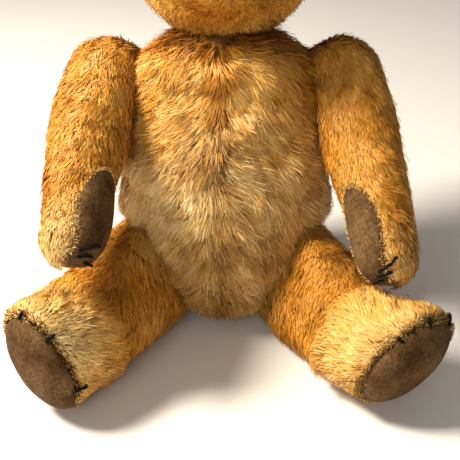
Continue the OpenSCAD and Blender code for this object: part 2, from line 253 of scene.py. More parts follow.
def eased(obj, rounds):
    """Laplacian smoothing."""
    ed = np.zeros(len(obj.data.edges) * 2, int)
    obj.data.edges.foreach_get("vertices", ed)
    ed = ed.reshape(-1, 2)
    co = coords(obj)
    deg = np.bincount(ed.ravel(), minlength=len(co))[:, None]
    for _ in range(rounds):
        s = np.zeros_like(co)
        np.add.at(s, ed[:, 0], co[ed[:, 1]])
        np.add.at(s, ed[:, 1], co[ed[:, 0]])
        co = co * 0.5 + s / deg * 0.5
    return set_coords(obj, co)


def stuffed(obj, pressure=4.0, cap=0.003, frames=20):
    """Cloth under pressure fills the cover; no point moves further than cap."""
    before = coords(obj)
    cloth = obj.modifiers.new("stuffing", "CLOTH")
    cloth.settings.use_pressure = True
    cloth.settings.uniform_pressure_force = pressure
    cloth.settings.effector_weights.gravity = 0
    cloth.settings.quality = 4
    cloth.settings.tension_stiffness = 20
    cloth.settings.compression_stiffness = 20
    cloth.settings.bending_stiffness = 1.5
    cloth.collision_settings.use_collision = False
    cloth.point_cache.frame_start = 1
    cloth.point_cache.frame_end = frames
    scene = bpy.context.scene
    for f in range(1, frames + 1):
        scene.frame_set(f)
    dg = bpy.context.evaluated_depsgraph_get()
    after = np.zeros(len(before) * 3)
    obj.evaluated_get(dg).data.vertices.foreach_get("co", after)
    obj.modifiers.clear()
    scene.frame_set(1)
    step = after.reshape(-1, 3) - before
    far = np.linalg.norm(step, axis=1, keepdims=True)
    step *= np.minimum(1, cap / np.maximum(far, 1e-9))
    return set_coords(obj, before + step)


# ---- Materials -----------------------------------------------------------------------------------

def plain(name, colour, rough=0.6, sheen=0.0, spec=0.5, coat=0.0, metal=0.0, tint=None):
    m = bpy.data.materials.new(name)
    m.use_nodes = True
    b = m.node_tree.nodes["Principled BSDF"]
    b.inputs["Base Color"].default_value = (*colour, 1)
    b.inputs["Roughness"].default_value = rough
    b.inputs["Specular IOR Level"].default_value = spec
    b.inputs["Metallic"].default_value = metal
    b.inputs["Coat Weight"].default_value = coat
    b.inputs["Sheen Weight"].default_value = sheen
    if tint:
        b.inputs["Sheen Tint"].default_value = (*tint, 1)
    m.diffuse_color = (*colour, 1)
    return m


def mottled(name, dark, light, scale, rough=0.8, sheen=0.3, weave=900, depth=0.4, low=0.35, high=0.7):
    """A surface with worn patches, fine flecks and a fine bump."""
    m = plain(name, dark, rough, sheen)
    nt = m.node_tree
    b = nt.nodes["Principled BSDF"]
    place = nt.nodes.new("ShaderNodeTexCoord")
    noise = nt.nodes.new("ShaderNodeTexNoise")
    noise.inputs["Scale"].default_value = scale
    noise.inputs["Detail"].default_value = 6
    noise.inputs["Roughness"].default_value = 0.65
    ramp = nt.nodes.new("ShaderNodeValToRGB")
    ramp.color_ramp.elements[0].position = low
    ramp.color_ramp.elements[0].color = (*dark, 1)
    ramp.color_ramp.elements[1].position = high
    ramp.color_ramp.elements[1].color = (*light, 1)
    fleck = nt.nodes.new("ShaderNodeTexNoise")
    fleck.inputs["Scale"].default_value = 520
    fleck.inputs["Detail"].default_value = 2
    shade = nt.nodes.new("ShaderNodeMapRange")
    shade.inputs["From Min"].default_value = 0.3
    shade.inputs["From Max"].default_value = 0.7
    shade.inputs["To Min"].default_value = 0.62
    shade.inputs["To Max"].default_value = 1.38
    tint = nt.nodes.new("ShaderNodeVectorMath")
    tint.operation = "SCALE"
    fine = nt.nodes.new("ShaderNodeTexNoise")
    fine.inputs["Scale"].default_value = weave
    fine.inputs["Detail"].default_value = 3
    bump = nt.nodes.new("ShaderNodeBump")
    bump.inputs["Strength"].default_value = depth
    bump.inputs["Distance"].default_value = 0.0004
    link = nt.links.new
    link(place.outputs["Object"], noise.inputs["Vector"])
    link(place.outputs["Object"], fine.inputs["Vector"])
    link(noise.outputs["Fac"], ramp.inputs["Fac"])
    link(place.outputs["Object"], fleck.inputs["Vector"])
    link(fleck.outputs["Fac"], shade.inputs["Value"])
    link(ramp.outputs["Color"], tint.inputs[0])
    link(shade.outputs["Result"], tint.inputs["Scale"])
    link(tint.outputs["Vector"], b.inputs["Base Color"])
    link(fine.outputs["Fac"], bump.inputs["Height"])
    link(bump.outputs["Normal"], b.inputs["Normal"])
    return m


# Pile shades, dark to pale: each has a root and a tip colour. The first six are golden, the rest straw.
SHADES = [
    ((0.100, 0.029, 0.002), (0.26, 0.082, 0.005)),
    ((0.22, 0.070, 0.005), (0.45, 0.160, 0.012)),
    ((0.36, 0.124, 0.009), (0.62, 0.255, 0.024)),
    ((0.46, 0.178, 0.018), (0.74, 0.360, 0.054)),
    ((0.54, 0.255, 0.045), (0.84, 0.515, 0.135)),
    ((0.60, 0.340, 0.090), (0.90, 0.670, 0.270)),
    ((0.075, 0.028, 0.004), (0.19, 0.084, 0.014)),
    ((0.135, 0.057, 0.010), (0.33, 0.166, 0.038)),
    ((0.21, 0.098, 0.022), (0.49, 0.270, 0.080)),
    ((0.30, 0.154, 0.040), (0.66, 0.398, 0.135)),
    ((0.40, 0.230, 0.070), (0.82, 0.560, 0.225)),
    ((0.48, 0.310, 0.110), (0.93, 0.710, 0.345))]
TONES = 6
PILE = []
for i, (root, tip) in enumerate(SHADES):
    PILE.append(plain(f"mohair_root_{i}", root, 0.8, 0, 0.1))
    PILE.append(plain(f"mohair_tip_{i}", tip, 0.5, 0, 0.25))
backing = plain("mohair_backing", (0.17, 0.065, 0.010), 0.9)
felt = mottled("brown_felt", (0.058, 0.027, 0.008), (0.145, 0.082, 0.036), 42, 0.95, 0.0, 1100, 1.0, 0.38, 0.66)
felt.node_tree.nodes["Principled BSDF"].inputs["Specular IOR Level"].default_value = 0.12
thread = plain("black_thread", (0.004, 0.003, 0.003), 0.8, 0.0, 0.15)
floss = plain("black_floss", (0.005, 0.004, 0.004), 0.5, 0.0, 0.3)
amber = plain("amber_glass", (0.24, 0.085, 0.012), 0.08, 0, 0.6, 1.0)
pupil_black = plain("pupil_black", (0.004, 0.004, 0.004), 0.05, 0, 0.6, 1.0)
steel = plain("steel", (0.55, 0.55, 0.56), 0.35, metal=1.0)
board = mottled("hardboard", (0.20, 0.11, 0.05), (0.30, 0.18, 0.09), 120, 0.8, 0, 700, 0.3)
card = mottled("card", (0.42, 0.33, 0.22), (0.52, 0.43, 0.31), 90, 0.85, 0, 800, 0.2)

for name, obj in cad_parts.items():
    obj.data.materials.clear()
    if name.endswith("_disc"):
        obj.data.materials.append(board)
    elif name.endswith(("_washer", "_pin")):
        obj.data.materials.append(steel)
    elif name.endswith("insole"):
        obj.data.materials.append(card)
    elif name.endswith("_eye"):
        obj.data.materials.append(amber)
    else:
        obj.data.materials.append(backing)

# ---- Pile ----------------------------------------------------------------------------------------

UP = np.array((0, 0, 1.0))
STRAND_POINTS, STRAND_TRIANGLES = 7, 5
PIECE_TRIANGLES = 190000     # most triangles in one piece
NEAREST_BATCH = 4000
FLYAWAY = 0.03               # share of strands that stand up from the rest
STATIONS = (0.0, 0.36, 0.70, 1.0)


def unit(v):
    return v / np.maximum(np.linalg.norm(v, axis=-1, keepdims=True), 1e-12)


def sample(obj, count, rng):
    """Area-weighted points on a mesh and their smooth normals."""
    obj.data.calc_loop_triangles()
    tri = np.zeros(len(obj.data.loop_triangles) * 3, int)
    obj.data.loop_triangles.foreach_get("vertices", tri)
    tri = tri.reshape(-1, 3)
    co, no = coords(obj), normals(obj)
    a, b, c = co[tri[:, 0]], co[tri[:, 1]], co[tri[:, 2]]
    area = np.linalg.norm(np.cross(b - a, c - a), axis=1)
    pick = rng.choice(len(tri), count, p=area / area.sum())
    u, v = rng.random((2, count, 1))
    flip = u + v > 1
    u, v = np.where(flip, 1 - u, u), np.where(flip, 1 - v, v)
    w = 1 - u - v
    t = tri[pick]
    return w * co[t[:, 0]] + u * co[t[:, 1]] + v * co[t[:, 2]], unit(
        w * no[t[:, 0]] + u * no[t[:, 1]] + v * no[t[:, 2]]), area.sum() / 2


def nearest(points, seeds):
    """For each point, the index of the seed closest to it."""
    out = np.empty(len(points), int)
    s2 = (seeds ** 2).sum(1)
    for k in range(0, len(points), NEAREST_BATCH):
        p = points[k:k + NEAREST_BATCH]
        out[k:k + NEAREST_BATCH] = (s2 - 2 * p @ seeds.T).argmin(1)
    return out


def waves(p, seed, size):
    """Smooth noise, about -1 to 1, from a few sums of sines."""
    rng = np.random.default_rng(seed)
    total = np.zeros(len(p))
    for _ in range(6):
        k = rng.normal(size=3) / size
        total += np.sin(p @ k + rng.random() * FULL_TURN)
    return total / 3


def pile(name, skin, body, density, length, comb, keep, seed, shade=None, clump=0.0032, lift=0.44,
         width=0.00050, tangle=0.13, middle=2.5, contrast=0.12, broad=0.85, pull_in=0.26, straw=None, sway=0.30):
    """Strands of mohair rooted on a skin, gathered in locks and the locks in tufts.

    comb(p, n) gives the lay and keep(p) the share kept and its length. shade(p, n) shifts the tone, straw(p) is
    the share in the straw colours. density is per square millimetre, length and width are in metres.
    """
    rng = np.random.default_rng(seed)
    area = sample(skin, 10, rng)[2]
    count = int(area * 1e6 * density * (1))
    p, n, _ = sample(skin, count, rng)
    share, short = keep(p)
    ok = rng.random(count) < share
    p, n, short = p[ok], n[ok], short[ok]
    count = len(p)
    seeds = rng.choice(count, max(8, int(area / clump ** 2)), replace=False)
    lock = nearest(p, p[seeds])
    m = len(seeds)
    tufts = seeds[rng.choice(m, max(6, int(m / 7)), replace=False)]
    tuft = nearest(p, p[tufts])
    mt = len(tufts)
    lay = unit(comb(p, n))
    lay = unit(lay - n * (lay * n).sum(1, keepdims=True))
    swing = (rng.normal(0, tangle * 0.6, m)[lock] + rng.normal(0, tangle, mt)[tuft] + rng.normal(0, 0.16, count)
             + waves(p, seed + 5, 0.018) * sway)
    side = np.cross(n, lay)
    lay = lay * np.cos(swing)[:, None] + side * np.sin(swing)[:, None]
    side = np.cross(n, lay)
    lock_long = 1 + rng.normal(0, tangle * 0.35, m)[lock] + rng.normal(0, tangle * 0.4, mt)[tuft]
    long = length * short * lock_long * np.clip(rng.normal(1, 0.15, count), 0.45, 1.5)
    rise = lift * (1 + rng.normal(0, tangle * 0.5, m)[lock] + rng.normal(0, tangle * 0.8, mt)[tuft])
    rise = np.clip(rise + rng.normal(0, 0.06, count), 0.12, 0.9)
    fly = rng.random(count) < FLYAWAY
    rise = np.where(fly, rise + 0.35, rise)
    toward = p[seeds][lock] - p + (p[tufts][tuft] - p) * 0.35
    toward -= n * (toward * n).sum(1, keepdims=True)
    phase = rng.random(count) * FULL_TURN
    bow = rng.normal(0, 0.0007, count)
    rows = []
    for s in STATIONS:
        pull = pull_in * s ** 1.5 * np.where(fly, 0.0, 1.0)
        q = (p + lay * (long * (s - 0.10 * s * s))[:, None]
             + n * (long * (rise * s * 1.25 - (rise * 0.80) * s * s) - 0.0006)[:, None]
             + toward * pull[:, None]
             + side * (bow * np.sin(phase + 3.2 * s) * s)[:, None])
        q[:, 2] = np.maximum(q[:, 2], ON_FLOOR)
        rows.append(q)
    roll = rng.normal(0, 0.55, count)
    wide = (side * np.cos(roll)[:, None] + n * np.sin(roll)[:, None]) * -np.sign(np.cos(roll))[:, None]
    thick = width * rng.uniform(0.7, 1.25, count)[:, None] / 2
    verts = np.empty((count, STRAND_POINTS, 3), np.float32)
    for k, w in enumerate((0.9, 1.0, 0.75)):
        verts[:, 2 * k] = rows[k] - wide * thick * w
        verts[:, 2 * k + 1] = rows[k] + wide * thick * w
    verts[:, 6] = rows[3]
    tip_side = (rng.normal(0, tangle * 0.7, m)[lock] + rng.normal(0, tangle, mt)[tuft])[:, None]
    tip_ahead = (0.10 + rng.normal(0, tangle, mt)[tuft])[:, None]
    up = unit(n * 0.9 + np.cross(lay, wide) * 0.15 + side * tip_side + lay * tip_ahead
              + rng.normal(0, 0.10, (count, 3)))
    tone = (middle + rng.normal(0, contrast, m)[lock] + rng.normal(0, contrast, mt)[tuft] + rng.normal(0, 0.48, count)
            + waves(p, seed + 9, 0.020) * broad)
    if shade is not None:
        tone = tone + shade(p, n)
    tone = np.clip(np.rint(tone), 0, TONES - 1).astype(np.int32)
    if straw is not None:
        tone = tone + TONES * (rng.random(count) < straw(p))
    order = np.argsort(np.arctan2(p[:, 0] - p[:, 0].mean(), -(p[:, 1] - p[:, 1].mean())), kind="stable")
    verts, tone, up = verts[order], tone[order], up[order]
    pieces = max(1, math.ceil(count * STRAND_TRIANGLES / PIECE_TRIANGLES))
    made = []
    for k in range(pieces):
        a, b = count * k // pieces, count * (k + 1) // pieces
        made.append(strands(f"{name}_{k + 1:02d}" if pieces > 1 else name, verts[a:b], tone[a:b], up[a:b]))
        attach(made[-1], body)
    return made


def strands(name, verts, tone, up=None):
    """Seven points, two quads and a tip for each strand."""
    n = len(verts)
    base = (np.arange(n, dtype=np.int32) * STRAND_POINTS)[:, None]
    corner = np.array((0, 1, 3, 2, 2, 3, 5, 4, 4, 5, 6), np.int32)
    loops = (base + corner).ravel()
    starts = (np.arange(n, dtype=np.int32)[:, None] * 11 + np.array((0, 4, 8), np.int32)).ravel()
    totals = np.tile(np.array((4, 4, 3), np.int32), n)
    index = (tone[:, None] * 2 + np.array((0, 1, 1), np.int32)).ravel().astype(np.int32)
    mesh = bpy.data.meshes.new(name)
    mesh.vertices.add(n * STRAND_POINTS)
    mesh.vertices.foreach_set("co", np.ascontiguousarray(verts, np.float32).ravel())
    mesh.loops.add(n * 11)
    mesh.loops.foreach_set("vertex_index", loops)
    mesh.polygons.add(n * 3)
    mesh.polygons.foreach_set("loop_start", starts)
    mesh.polygons.foreach_set("loop_total", totals)
    for mat in PILE:
        mesh.materials.append(mat)
    mesh.polygons.foreach_set("material_index", index)
    mesh.update(calc_edges=True)
    if up is not None:
        mesh.polygons.foreach_set("use_smooth", np.ones(n * 3, bool))
        mesh.normals_split_custom_set_from_vertices(np.repeat(up, STRAND_POINTS, axis=0))
    obj = bpy.data.objects.new(name, mesh)
    bpy.context.scene.collection.objects.link(obj)
    return obj


# ---- Threads -------------------------------------------------------------------------------------

def tube(name, paths, radius, mat, body, ply=2, sides=6):
    """Twisted thread along each path: ply strands wound round it."""
    verts, faces = [], []
    for path in paths:
        path = np.array(path, float)
        steps = max(8, int(np.linalg.norm(np.diff(path, axis=0), axis=1).sum() / (radius * 0.7)))
        s = np.linspace(0, len(path) - 1, steps)
        pts = np.stack([np.interp(s, np.arange(len(path)), path[:, k]) for k in range(3)], 1)
        tan = unit(np.gradient(pts, axis=0))
        ref = unit(np.cross(tan, UP + 0.01))
        bi = np.cross(tan, ref)
        for q in range(ply):
            turn = np.linspace(0, steps * 0.35, steps) + q * 2 * math.pi / ply
            off = radius * 0.45 if ply > 1 else 0
            mid = pts + ref * (np.cos(turn) * off)[:, None] + bi * (np.sin(turn) * off)[:, None]
            r = radius * (0.62 if ply > 1 else 1)
            ends = np.clip(np.minimum(np.arange(steps), steps - 1 - np.arange(steps)) / 1.5 + 0.35, 0, 1)
            first = len(verts)
            for i in range(steps):
                for j in range(sides):
                    a = 2 * math.pi * j / sides
                    verts.append(mid[i] + (ref[i] * math.cos(a) + bi[i] * math.sin(a)) * r * ends[i])
            for i in range(steps - 1):
                for j in range(sides):
                    k = (j + 1) % sides
                    faces.append([first + i * sides + j, first + i * sides + k,
                                  first + (i + 1) * sides + k, first + (i + 1) * sides + j])
            faces.append([first + j for j in range(sides)][::-1])
            faces.append([first + (steps - 1) * sides + j for j in range(sides)])
    obj = shaded_smooth(new_object(name, verts, faces, [mat]))
    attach(obj, body)
    return obj


def surface_of(obj):
    return BVHTree.FromPolygons([v.co.copy() for v in obj.data.vertices],
                                [tuple(p.vertices) for p in obj.data.polygons])


def dropped(tree, points, lift):
    """Points moved to a surface and lifted from it."""
    got = []
    for p in points:
        hit = tree.find_nearest(Vector(p))
        got.append(np.array(hit[0]) + np.array(hit[1]) * lift)
    return np.array(got)


# ---- Torso ---------------------------------------------------------------------------------------

PILE_DEPTH = 0.0012      # how far the backing lies under the CAD skin


def finished_skin(name, body, nodes, r, flats=(), voxel=0.0045, rounds=6, cap=0.0012, depth=PILE_DEPTH):
    """The backing under the pile: rings closed, evened, sunk everywhere but at its flat joint faces, and filled."""
    obj = closed_skin(name, r * MM, [backing])
    remeshed(obj, voxel)
    eased(obj, rounds)
    if flats:
        co = coords(obj)
        sink = np.full(len(co), depth)
        for aim, spot in flats:
            sink *= np.clip(np.abs((co - spot) @ aim) / 0.010, 0, 1)
        set_coords(obj, co - normals(obj) * sink[:, None])
    else:
        set_coords(obj, coords(obj) - normals(obj) * depth)
    stuffed(obj, cap=cap)
    shaded_smooth(obj)
    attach(obj, body)
    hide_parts(*nodes)
    return obj


def flat_of(matrix, axis):
    """The joint face of a frame: its direction and a point on it."""
    return np.array((matrix.to_3x3() @ Vector(axis)).normalized()), np.array(matrix.translation) * MM


def kept_inside(r, matrix, limit, low=None):
    """Ring points beyond x = limit of a frame are laid on that plane."""
    flat = r.reshape(-1, 3)
    inv = matrix.inverted()
    q = placed(flat, inv)
    hit = q[:, 0] > limit
    if low is not None:
        hit &= q[:, 2] < low
    q[hit, 0] = limit
    return placed(q, matrix).reshape(r.shape)


torso_r = placed(rings(TORSO_ROWS, (-4, 207), (10, 34), 40, 72), TORSO_AT)
for side in (1, -1):
    torso_r = kept_inside(torso_r, shoulder_at(side), -GAP / 2)
    torso_r = kept_inside(torso_r, hip_at(side), -GAP / 2, low=34)
neck_inv = UPRIGHT.inverted()
q = placed(torso_r, neck_inv)
q[..., 2] = np.minimum(q[..., 2], -GAP / 2)
torso_r = placed(q, UPRIGHT)
torso_r[..., 2] = np.maximum(torso_r[..., 2], 0)
torso = finished_skin("torso_skin", "torso", ["torso_cover", "torso_stuffing"], torso_r,
                      [flat_of(UPRIGHT, (0, 0, 1))] + [flat_of(f(k), (1, 0, 0)) for k in (1, -1)
                                                       for f in (shoulder_at, hip_at)], rounds=8)


def torso_comb(p, n):
    x = p[:, 0]
    front = n[:, 1] < 0.2
    away = np.tanh((x + 0.004) / 0.010)
    fan = (0.45 + 0.75 * np.exp(-np.abs(x) / 0.03)) * np.clip(0.35 + p[:, 2] / 0.13, 0.4, 1.3)
    out = np.stack([away * fan, np.zeros(len(p)), -np.ones(len(p))], 1)
    back = np.stack([x * 3, np.zeros(len(p)), -np.ones(len(p))], 1)
    return np.where(front[:, None], out, back)


def torso_keep(p):
    share = np.ones(len(p))
    share[p[:, 2] < FLOOR_BARE] = 0
    q = placed(p / MM, neck_inv)
    share[q[:, 2] > -5] = 0.25
    return share, np.ones(len(p))


def torso_straw(p):
    return np.clip((0.165 - p[:, 2]) / 0.05 + waves(p, 3, 0.03) * 0.3, 0.12, 0.92)


def torso_shade(p, n):
    # painted shade along the centre parting: front pile near the middle line is darker
    part = np.exp(-((p[:, 0] + 0.004) / 0.004) ** 2) * (n[:, 1] < 0)
    # painted light on the front of the belly: front pile at mid height is paler, less so near the bottom
    low = np.clip((0.150 - p[:, 2]) / 0.06, 0, 1) * np.clip((p[:, 2] - 0.020) / 0.05, 0.25, 1)
    # painted shadow under the chin: pile within about 14 mm of the neck is darker
    chin_shadow = np.clip((placed(p / MM, neck_inv)[:, 2] + 14) / 10, 0, 1)
    return 0.7 * low * (n[:, 1] < 0.2) - 1.3 * part - 2.2 * chin_shadow


pile("torso_pile", torso, "torso", 2.4, 0.0140, torso_comb, torso_keep, 11, torso_shade, clump=0.0038,
     lift=0.44, tangle=0.17, middle=2.8, contrast=0.42, broad=0.7, pull_in=0.60, straw=torso_straw, sway=0.30)

# ---- Head ----------------------------------------------------------------------------------------

head_r = placed(rings(HEAD_ROWS, (-58, 80), (34, 15), 40, 64), HEAD_AT)
q = placed(head_r, neck_inv)
q[..., 2] = np.maximum(q[..., 2], GAP / 2)
head_r = placed(q, UPRIGHT)
head = finished_skin("head_skin", "head", ["head_cover", "head_stuffing"], head_r,
                     [flat_of(UPRIGHT, (0, 0, 1))], rounds=4)
head_tree = surface_of(head)
EYE_SEAT = (24, -40, 75)
NOSE_AT = UPRIGHT @ moved((0, -80, HEAD_MID - 9))


def eye_at(side):
    return mirrored(side) @ UPRIGHT @ moved(EYE_SEAT) @ turned("Z", 27) @ turned("X", 59)


def head_local(p):
    return placed(p / MM, neck_inv)


def head_comb(p, n):
    q = head_local(p)
    ax = np.array(UPRIGHT.to_3x3())
    snout = np.array((0, -78, HEAD_MID - 10.0))
    away = unit(q - snout)
    away[:, 2] -= 0.35 * (q[:, 1] > -40)
    return away @ ax.T


def head_keep(p):
    q = head_local(p)
    share = np.ones(len(p))
    near = np.clip((q[:, 1] + 82) / 40, 0, 1)
    short = 0.42 + 0.58 * near
    for side in (1, -1):
        e = placed(p / MM, eye_at(side).inverted())
        d = np.hypot(e[:, 0], e[:, 1])
        share[(d < 7.2) & (np.abs(e[:, 2]) < 12)] = 0
        short *= np.where((d < 12) & (np.abs(e[:, 2]) < 12), 0.5, 1)
    e = placed(p / MM, NOSE_AT.inverted())
    nose = (np.abs(e[:, 0]) < 10) & (e[:, 2] > -9) & (e[:, 2] < 7) & (e[:, 1] < 12)
    share[nose] = 0
    share[q[:, 2] < 1.0] = 0.1
    return share, short


pile("head_pile", head, "head", 2.0, 0.0110, head_comb, head_keep, 23)

for side, word in ((1, "left"), (-1, "right")):
    m = eye_at(side) @ moved((0, 0, -3.5))
    count, bands = 20, 6
    r_pupil = 8.0 + 0.10     # just proud of the glass
    verts = []
    for i in range(bands + 1):
        a = math.radians(i * 5.2)
        for j in range(count):
            b = 2 * math.pi * j / count
            verts.append((r_pupil * math.sin(a) * math.cos(b), r_pupil * math.sin(a) * math.sin(b),
                          -3 + r_pupil * math.cos(a)))
    verts = placed(np.array(verts), m) * MM
    pupil = shaded_smooth(outward(new_object(f"{word}_pupil", verts, quads(bands, count), [pupil_black])))
    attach(pupil, "head")

# Nose: rows of upright floss stitches over a rounded triangle; mouth: one upright and two slanted stitches
stitches = []
for i in range(13):
    x = -9 + 18 * i / 12
    top, low = 6.5 - 0.02 * x * x, -7.5 + 0.085 * x * x
    line = [(x * (0.55 + 0.45 * (1 - (z - top) / (low - top))), 0, z) for z in np.linspace(top, low, 7)]
    stitches.append(dropped(head_tree, placed(np.array(line), NOSE_AT) * MM, 0.0016))
nose = tube("nose_floss", stitches, 0.0010, floss, "head", ply=1)
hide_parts("nose")
lines = [[(0, 0, z) for z in np.linspace(-7, -15, 5)]]
for side in (1, -1):
    lines.append([(side * x, 0, -15 - 0.45 * x + 0.022 * x * x) for x in np.linspace(0, 13, 7)])
lines = [dropped(head_tree, placed(np.array(v, float), NOSE_AT) * MM, 0.0012) for v in lines]
mouth = tube("mouth_floss", lines, 0.0009, floss, "head")
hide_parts("mouth")

# ---- Ears ----------------------------------------------------------------------------------------

EAR_R, EAR_THICK = 21.5, 6.2
nu, nv = 32, 12

for side, word in ((1, "left"), (-1, "right")):
    m = mirrored(side) @ UPRIGHT @ moved((47, 6, 96)) @ turned("Z", 14) @ turned("Y", 34) @ turned("X", -6)
    verts = []
    for i in range(nv + 1):
        a = math.pi * i / nv
        for j in range(nu):
            b = 2 * math.pi * j / nu
            x, z = EAR_R * math.cos(b) * math.sin(a), EAR_R * math.sin(b) * math.sin(a)
            y = -EAR_THICK * math.cos(a) * (1 if math.cos(a) > 0 else 0.95)
            cup = 0.010 * (x * x + z * z)
            verts.append((x, y - cup * 0.6 + 1.5, max(z, -10)))
    verts = placed(np.array(verts), m) * MM
    ear = outward(new_object(f"{word}_ear_skin", verts, quads(nv, nu), [backing]))
    remeshed(ear, 0.002)
    eased(ear, 4)
    stuffed(ear, cap=0.0008)
    shaded_smooth(ear)
    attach(ear, "head")
    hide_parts(f"{word}_ear")
    ear_inv = m.inverted()
    base = np.array(m @ Vector((0, 0, -8))) * MM

    def ear_comb(p, n):
        return p - base

    def ear_keep(p):
        q = placed(p / MM, ear_inv)
        front = q[:, 1] < -2.0
        return np.where(q[:, 2] < -9, 0.2, 1.0), np.where(front, 0.55, 0.85)

    pile(f"{word}_ear_pile", ear, "head", 1.3, 0.0100, ear_comb, ear_keep, 31 + side)

# ---- Arms ----------------------------------------------------------------------------------------


RAY_START = 60           # where rays toward a skin start, in millimetres out from a frame
FELT_THICK = 0.0012


def cloth_skin(obj):
    """Gives a sheet the thickness of the felt."""
    mod = obj.modifiers.new("cloth", "SOLIDIFY")
    mod.thickness = FELT_THICK
    mod.offset = -1
    applied(obj)
    shaded_smooth(obj)


def pad_patch(name, tree, matrix, half_w, half_l, out_axis, rise, body, nodes, steps=(18, 48)):
    """A padded oval laid on a skin: pulled in at its edge and full in its middle."""
    verts = []
    rings_n, n = steps
    aim = Vector(out_axis)
    aim_world = (matrix.to_3x3() @ aim).normalized()
    for i in range(rings_n + 1):
        s = i / rings_n
        for j in range(n):
            a = 2 * math.pi * j / n
            u, v = half_w * s * math.cos(a), half_l * s * math.sin(a)
            local = Vector((u, 0, v)) if abs(aim.y) > 0.5 else Vector((u, v, 0))
            start = (matrix @ (local + aim * RAY_START)) * MM
            hit = tree.ray_cast(start, -aim_world)
            if hit[0] is None:
                near = tree.find_nearest(start - aim_world * 0.055)
                hit = (near[0], near[1])
            lift = rise * math.sqrt(max(0, 1 - s ** 3)) - (0.0006 if i == rings_n else 0)
            verts.append(np.array(hit[0]) + np.array(hit[1]) * lift)
    obj = new_object(name, verts, quads(rings_n, n), [felt])
    cloth_skin(obj)
    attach(obj, body)
    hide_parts(*nodes)
    return obj


def seam_specks(name, tree, matrix, half_w, half_l, out_axis, body, count, seed):
    """Short pale pile ends caught in the seam round a pad."""
    rng = np.random.default_rng(seed)
    aim = Vector(out_axis)
    aim_world = (matrix.to_3x3() @ aim).normalized()
    verts = np.empty((count, STRAND_POINTS, 3), np.float32)
    keep = []
    for i in range(count):
        a = rng.random() * FULL_TURN
        g = 1.01 + rng.normal(0, 0.018)
        u, v = half_w * g * math.cos(a), half_l * g * math.sin(a)
        local = Vector((u, 0, v)) if abs(aim.y) > 0.5 else Vector((u, v, 0))
        hit = tree.ray_cast((matrix @ (local + aim * RAY_START)) * MM, -aim_world)
        if hit[0] is None:
            continue
        p, n = np.array(hit[0]), np.array(hit[1])
        centre = np.array((matrix @ Vector((0, 0, 0))) * MM)
        out = unit(p - centre)
        d = unit(n * 1.0 + out * rng.normal(0.35, 0.5) + rng.normal(0, 0.35, 3))
        w = unit(np.cross(d, rng.normal(size=3))) * 0.00030
        long = rng.uniform(0.0016, 0.0034)
        for k, s in enumerate((0, 0.5, 0.85)):
            verts[len(keep), 2 * k] = p + d * long * s - w * (1 - 0.4 * s)
            verts[len(keep), 2 * k + 1] = p + d * long * s + w * (1 - 0.4 * s)
        verts[len(keep), 6] = p + d * long
        keep.append(TONES + int(np.clip(round(rng.normal(3.4, 1.0)), 1, 5)))
    obj = strands(name, verts[:len(keep)], np.array(keep, np.int32))
    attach(obj, body)
    return obj


# Ends of each stitch on the pad: across and along, in millimetres from the pad's middle
PAW_CLAWS = {1: ((7, -26, 18, -22), (4, -29.5, 14.5, -30.5), (-3, -33.5, 7, -37)),
             -1: ((8, -28.5, -2, -19), (7, -35.5, -4, -27), (-3, -37, -12, -30))}
PAW_CLAW_R, PAW_CLAW_LIFT = 0.0010, 0.0040

